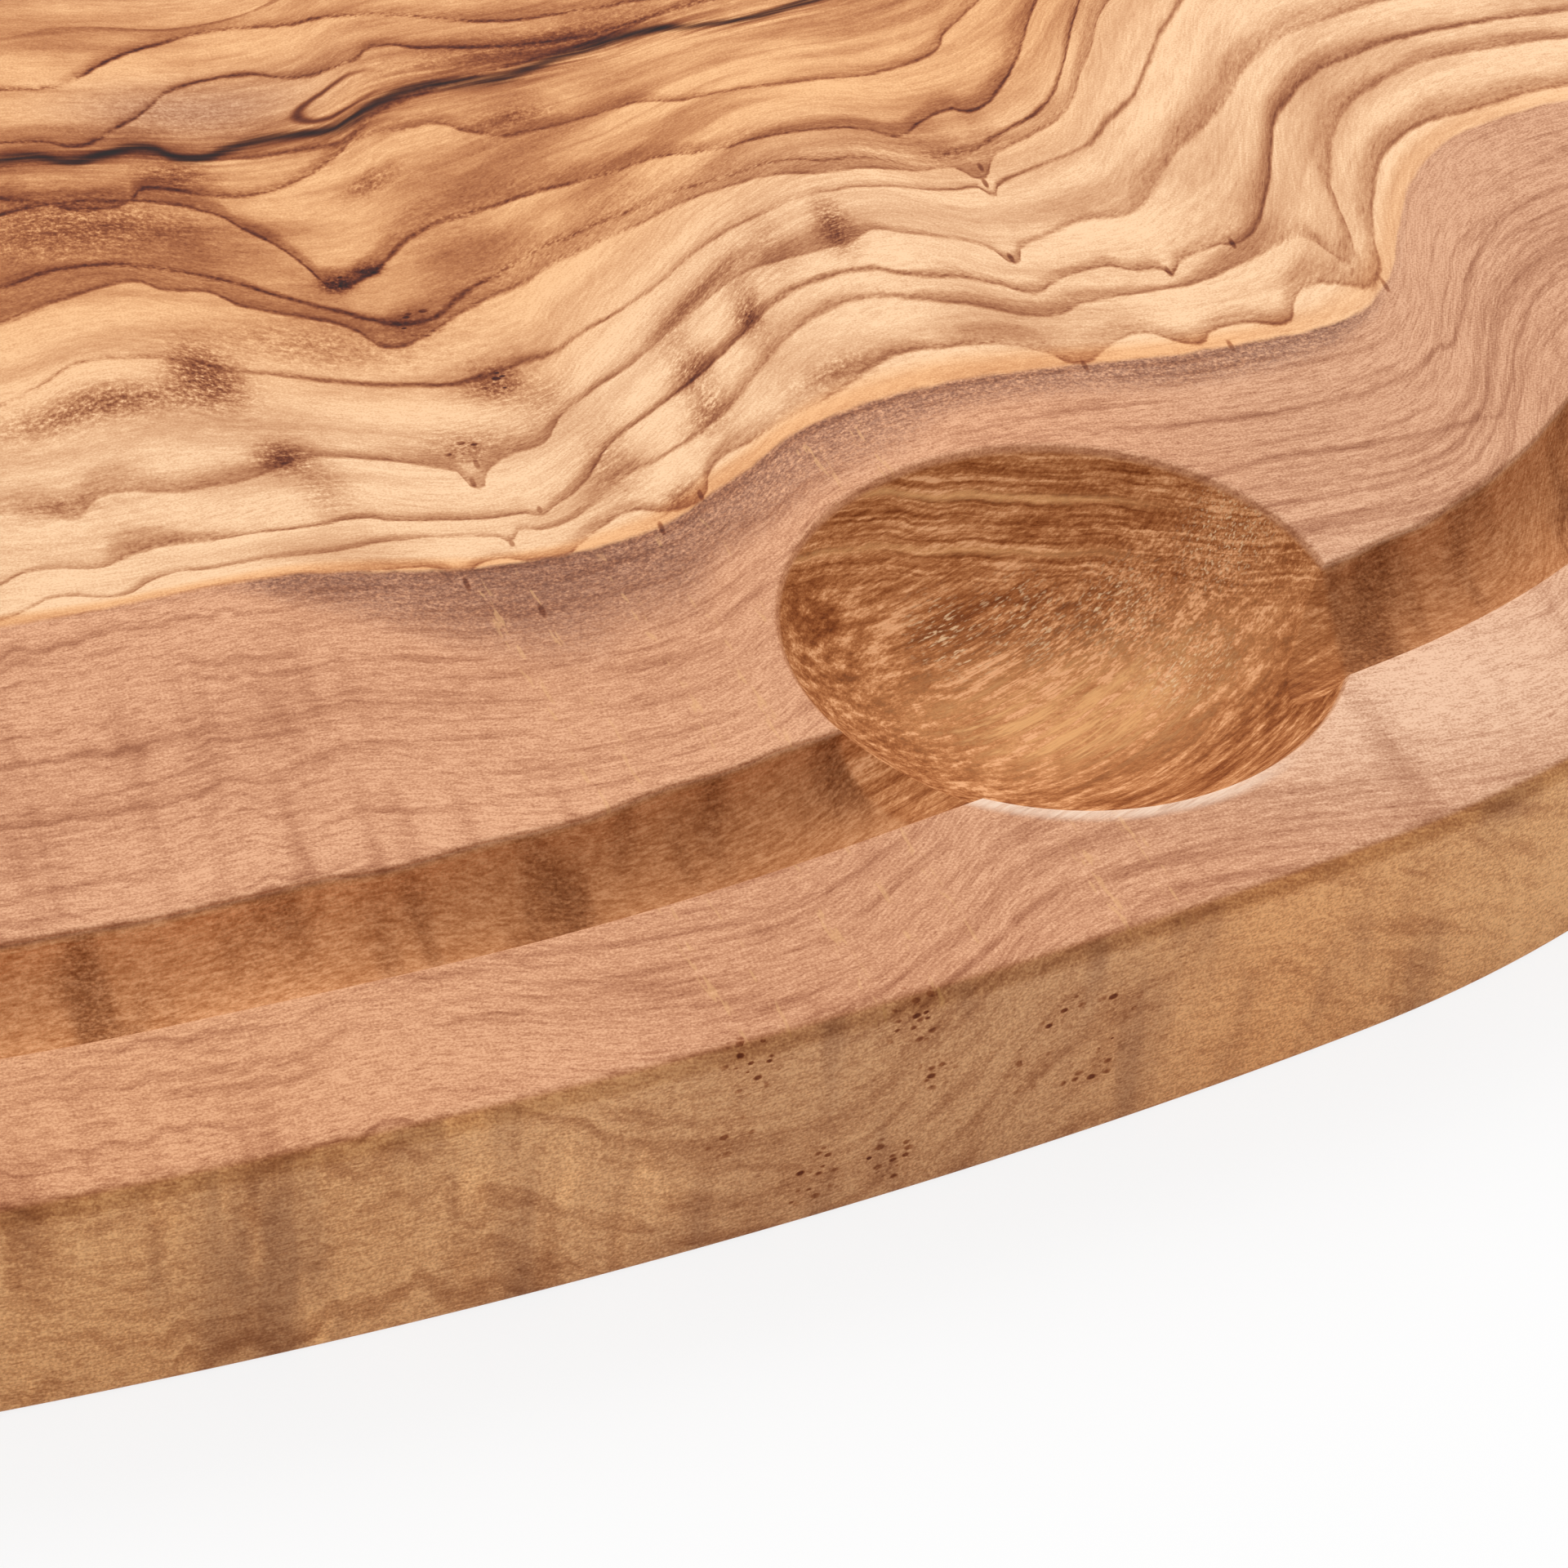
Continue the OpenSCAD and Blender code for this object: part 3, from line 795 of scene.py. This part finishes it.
torn = noise(torn_place, (4.0, 0.26, 0.32), 3.0, 0.65)
blotch = noise(place, (6.0, 20.0, 26.0), 2.0)
pale_bar = noise(place, (4.0, 30.0, 14.0), 2.0)
wall_dark = (-0.01 + ease(blotch, 0.0, 1.0) * 0.45
             - ease(pale_bar, 0.2, 1.0) * ease(x, 60.0, 35.0) * in_outer * 0.38
             + ease(x, 38.0, 60.0) * ease(x, 100.0, 80.0) * 0.14 + stipple * 0.12)
figure = soak(figure, wall * in_outer, WALL_LIGHT)
figure = soak(figure, wall * in_outer * ease(x, 78.0, 104.0), WALL_RIGHT_LIGHT)
figure = soak(figure, wall * (wall_dark + (1.0 - in_outer) * 0.16), STAIN_LIGHT)
# The painted shade along the rounded edges and lips
figure = soak(figure, arris_shade * 0.22, OIL_LIGHT)

# The well shows its fibres best: dark streaks that follow the rings on its far side and the tear on its near
# side, golden lines, a golden floor that is partly a painted highlight, and pale flecks where the fibres
# tore.
# Patches of painted shade lie where the groove runs into it and on its far and left walls, and a painted
# highlight lies along its near rim.
HOLLOW_BASE = (0.885, 0.458, 0.225)
WELL_GOLD_AND_HIGHLIGHT = rgb(0.86, 0.46, 0.19)
FLECK_COLOUR = rgb(0.90, 0.60, 0.34)
# Colour of the painted highlight on the well's near rim
LIP_HIGHLIGHT_COLOUR = rgb(0.90, 0.66, 0.50)
# Patches of painted shade in the well, where the groove runs into it and on its far and left walls: the place
# of each, its reach and its strength
WELL_SHADE_PATCHES = [((110.0, -90.0), (5.5, 3.5), 0.45), ((95.0, -69.5), (8.0, 2.2), 0.35),
                ((76.0, -71.0), (2.6, 7.0), 0.35), ((81.0, -83.0), (3.5, 3.0), 0.25)]
GOLD_LINES = [(15.0, 0.75), (7.0, 0.45)]
GOLD_BREADTH = 0.55
# The golden floor is partly golden wood and partly a painted highlight, where the floor of the bowl faces the
# softbox
GOLD_AND_HIGHLIGHT_PLACE, GOLD_AND_HIGHLIGHT_REACH = (96.5, -79.5), (11.5, 6.0)
TEAR_PLACE, TEAR_REACH = (100.0, -73.5), (15.0, 7.0)
WELL_TURN = (0.949, 0.315)
well_x, well_y = x - WELL_X * MM, y - WELL_Y * MM
well_across = well_x * WELL_TURN[0] - well_y * WELL_TURN[1]
far_wave = noise(vector(well_across, 0.0, 0.0), (9.0, 1.0, 1.0), 1.0) * 1.2
well_ring = well_x * WELL_TURN[1] + well_y * WELL_TURN[0] - depth * 1.5 + far_wave + jitter * 2.0
far_streak = noise(vector(well_across, well_ring, 0.0), (15.0, 0.9, 1.0), 3.0, 0.6)
near_streak = noise(torn_place, (12.0, 1.0, 1.1), 3.0, 0.6)
well_streak = near_streak + (far_streak - near_streak) * ease(well_ring, -3.0, 7.0)
smoke = ease(blotch, -0.1, 1.0) * (0.60 + stipple * 0.35) + ease(x, 15.0, 55.0) * 0.30 - 0.06
well_cloud = noise(torn_place, (10.0, 3.0, 4.0), 2.0)
tear = patch(x, y, TEAR_PLACE, TEAR_REACH)
well_dark = 0.34 + well_streak * 0.72 + well_cloud * 0.28 + torn * (0.16 + tear * 0.75)
# The patches of painted shade darken the well, streaked with its grain
for centre, reach, strength in WELL_SHADE_PATCHES:
    well_dark = well_dark + patch(x, y, centre, reach) * (0.9 + well_streak * 0.5) * strength
hollow_dark = (0.24 + fibre * 0.18 + mottle * 0.22 + stipple * 0.16 + grit * 0.14 + torn * 0.12
               + in_well * well_dark)
hollow_wood = soak(HOLLOW_BASE, hollow_dark.above(0.0), OIL_LIGHT)
hollow_wood = soak(hollow_wood, (smoke * (1.0 - in_well)).above(0.0), SMOKE_LIGHT)
gold_and_highlight = 0.0
for level, strength in GOLD_LINES:
    gold_ring = (well_ring - level) / GOLD_BREADTH
    gold_and_highlight = ((0.0 - gold_ring * gold_ring).exp() * strength).above(gold_and_highlight)
gold_and_highlight = gold_and_highlight * ease(well_across, 12.0, -2.0) * (0.8 + torn * 0.5)
# The golden floor: golden wood with a painted highlight on it
gold_and_highlight = (patch(x, y, GOLD_AND_HIGHLIGHT_PLACE, GOLD_AND_HIGHLIGHT_REACH) * (0.55 + near_streak * 1.1 + torn * 0.8)).above(gold_and_highlight)
hollow_wood = tint(in_well * gold_and_highlight.above(0.0).below(0.9), hollow_wood, WELL_GOLD_AND_HIGHLIGHT)
band_hollow = soak(figure, (0.34 + torn * 0.14 + mottle * 0.12 + smoke * 0.25).above(0.0), OIL_LIGHT)
figure = tint(hollow, figure, tint(in_outer, band_hollow, hollow_wood))
WELL_FLECKS = [(88.5, -70.5), (95.0, -69.5), (103.0, -71.0), (106.0, -79.0), (112.0, -70.5)]
FLECK_OUTER, FLECK_INNER = 5.5, 1.5
fleck = noise(torn_place, (0.9, 0.22, 0.25), 2.0)
fleck_area = 0.0
for fleck_x, fleck_y in WELL_FLECKS:
    off = arrow("DISTANCE", vector(x, y, 0.0), (fleck_x, fleck_y, 0.0), "Value")
    fleck_area = ease(off, FLECK_OUTER, FLECK_INNER).above(fleck_area)
figure = tint(in_well * ease(fleck + torn * 0.5, 0.1, 0.9) * fleck_area * 0.9, figure, FLECK_COLOUR)
# Painted highlight: a pale line along the rounded near rim of the well, broken up by the torn fibres
lip_highlight = ease(abs(well_off - WELL_RADIUS * MM - 0.3), 1.3, 0.2) * ease(depth, 1.6, 0.8)
lip_highlight = lip_highlight * ease(y, -90.0, -98.0) * ease(x, 108.0, 99.0)
figure = tint(lip_highlight * (0.75 + torn * 0.5).above(0.0).below(1.0), figure, LIP_HIGHLIGHT_COLOUR)

# The finish: oil rubbed in and no varnish, so the wood is matt, and its fibres stand up a little in the cuts
ROUGHNESS = 0.58
GLOSS = 0.10
RELIEF_STRENGTH, RELIEF_HEIGHT = 0.35, 0.0001
roughness = ROUGHNESS + fibre * 0.05 + hollow * 0.14
relief = fibre * 0.12 + hollow * torn * 1.3
bump = grain.node("ShaderNodeBump", {},
                  {"Strength": RELIEF_STRENGTH, "Distance": RELIEF_HEIGHT, "Height": relief})
shader = grain.node("ShaderNodeBsdfPrincipled", {},
                    {"Base Color": figure, "Roughness": roughness, "Specular IOR Level": GLOSS,
                     "Normal": bump})
finish_node = wood_tree.nodes.new("ShaderNodeOutputMaterial")
wood_tree.links.new(shader.socket, finish_node.inputs["Surface"])

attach(board, "root")
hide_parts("board")


# The floor: a wide white sheet of matt paper under the board, which takes its soft shadow. The camera sees
# it as nearly pure white.
def seen_rays(flow):
    """One for the rays that show a surface to the camera, straight or in a gloss."""
    rays = flow.node("ShaderNodeLightPath", {}, {}).socket.node.outputs
    return Flow(flow.tree, rays["Is Camera Ray"]).above(Flow(flow.tree, rays["Is Glossy Ray"]))


FLOOR_REACH = 6.0
PAPER = (0.95, 0.95, 0.95, 1.0)
WHITE = (1.0, 1.0, 1.0, 1.0)
GLOW_SHARE = 0.83
floor_mesh = bpy.data.meshes.new("floor")
floor_mesh.from_pydata([(-FLOOR_REACH, -FLOOR_REACH, 0), (FLOOR_REACH, -FLOOR_REACH, 0),
                        (FLOOR_REACH, FLOOR_REACH, 0), (-FLOOR_REACH, FLOOR_REACH, 0)], [], [(0, 1, 2, 3)])
paper = bpy.data.materials.new("white_paper")
paper.use_nodes = True
paper.node_tree.nodes.clear()
sheet = Flow(paper.node_tree)
matt = sheet.node("ShaderNodeBsdfDiffuse", {}, {"Color": PAPER})
glow = sheet.node("ShaderNodeEmission", {}, {"Color": WHITE, "Strength": 1.0})
paper_mix = sheet.node("ShaderNodeMixShader", {}, {0: seen_rays(sheet) * GLOW_SHARE, 1: matt, 2: glow})
paper_out = paper.node_tree.nodes.new("ShaderNodeOutputMaterial")
paper.node_tree.links.new(paper_mix.socket, paper_out.inputs["Surface"])
floor_mesh.materials.append(paper)
floor = bpy.data.objects.new("floor", floor_mesh)
bpy.context.scene.collection.objects.link(floor)


# The light: a white room that fills the shadows, and one large softbox beyond the board, so that the near
# sides of the well and the groove are the bright ones.
FILL_STRENGTH = 0.70
LAMP_SIZE = (1.2, 0.9)
LAMP_POWER = 8.5
LAMP_PLACE = (0.25, 0.75, 0.95)
LAMP_AIM = Vector((0.09, -0.06, 0.0))
world = bpy.data.worlds.new("studio")
bpy.context.scene.world = world
world.use_nodes = True
world.node_tree.nodes.clear()
sky = Flow(world.node_tree)
fill = sky.node("ShaderNodeBackground", {}, {"Color": WHITE, "Strength": FILL_STRENGTH})
white = sky.node("ShaderNodeBackground", {}, {"Color": WHITE, "Strength": 1.0})
sky_mix = sky.node("ShaderNodeMixShader", {}, {0: seen_rays(sky), 1: fill, 2: white})
sky_out = world.node_tree.nodes.new("ShaderNodeOutputWorld")
world.node_tree.links.new(sky_mix.socket, sky_out.inputs["Surface"])
lamp_data = bpy.data.lights.new("softbox", "AREA")
lamp_data.shape = "RECTANGLE"
lamp_data.size, lamp_data.size_y = LAMP_SIZE
lamp_data.energy = LAMP_POWER
lamp = bpy.data.objects.new("softbox", lamp_data)
lamp.location = LAMP_PLACE
lamp.rotation_euler = (LAMP_AIM - lamp.location).to_track_quat("-Z", "Y").to_euler()
bpy.context.scene.collection.objects.link(lamp)


# The camera: at the photograph's place and angle, as the oval look of the well's round rim gives it. It looks
# down by CAMERA_DOWN with a slight roll. Lengths are in metres and angles in radians.
CAMERA_PLACE = Vector((-0.02313, -0.36422, 0.26578))
CAMERA_TURN = math.radians(18.38)
CAMERA_DOWN = 0.71324
CAMERA_ROLL = 0.045437
SENSOR_WIDTH = 36.0
LENS = 112.5
CLIP_START = 0.01
right = Vector((math.cos(CAMERA_TURN), -math.sin(CAMERA_TURN), 0))
forward = Vector((math.sin(CAMERA_TURN) * math.cos(CAMERA_DOWN),
                  math.cos(CAMERA_TURN) * math.cos(CAMERA_DOWN), -math.sin(CAMERA_DOWN)))
upward = right.cross(forward)
camera_x = math.cos(CAMERA_ROLL) * right + math.sin(CAMERA_ROLL) * upward
camera_y = math.cos(CAMERA_ROLL) * upward - math.sin(CAMERA_ROLL) * right
camera_data = bpy.data.cameras.new("camera")
camera_data.sensor_width = SENSOR_WIDTH
camera_data.lens = LENS
camera_data.clip_start = CLIP_START
camera = bpy.data.objects.new("camera", camera_data)
camera_turn = Matrix((camera_x, camera_y, -forward)).transposed().to_4x4()
camera.matrix_world = Matrix.Translation(CAMERA_PLACE) @ camera_turn
bpy.context.scene.collection.objects.link(camera)
bpy.context.scene.camera = camera

bpy.context.scene.view_settings.view_transform = "Standard"
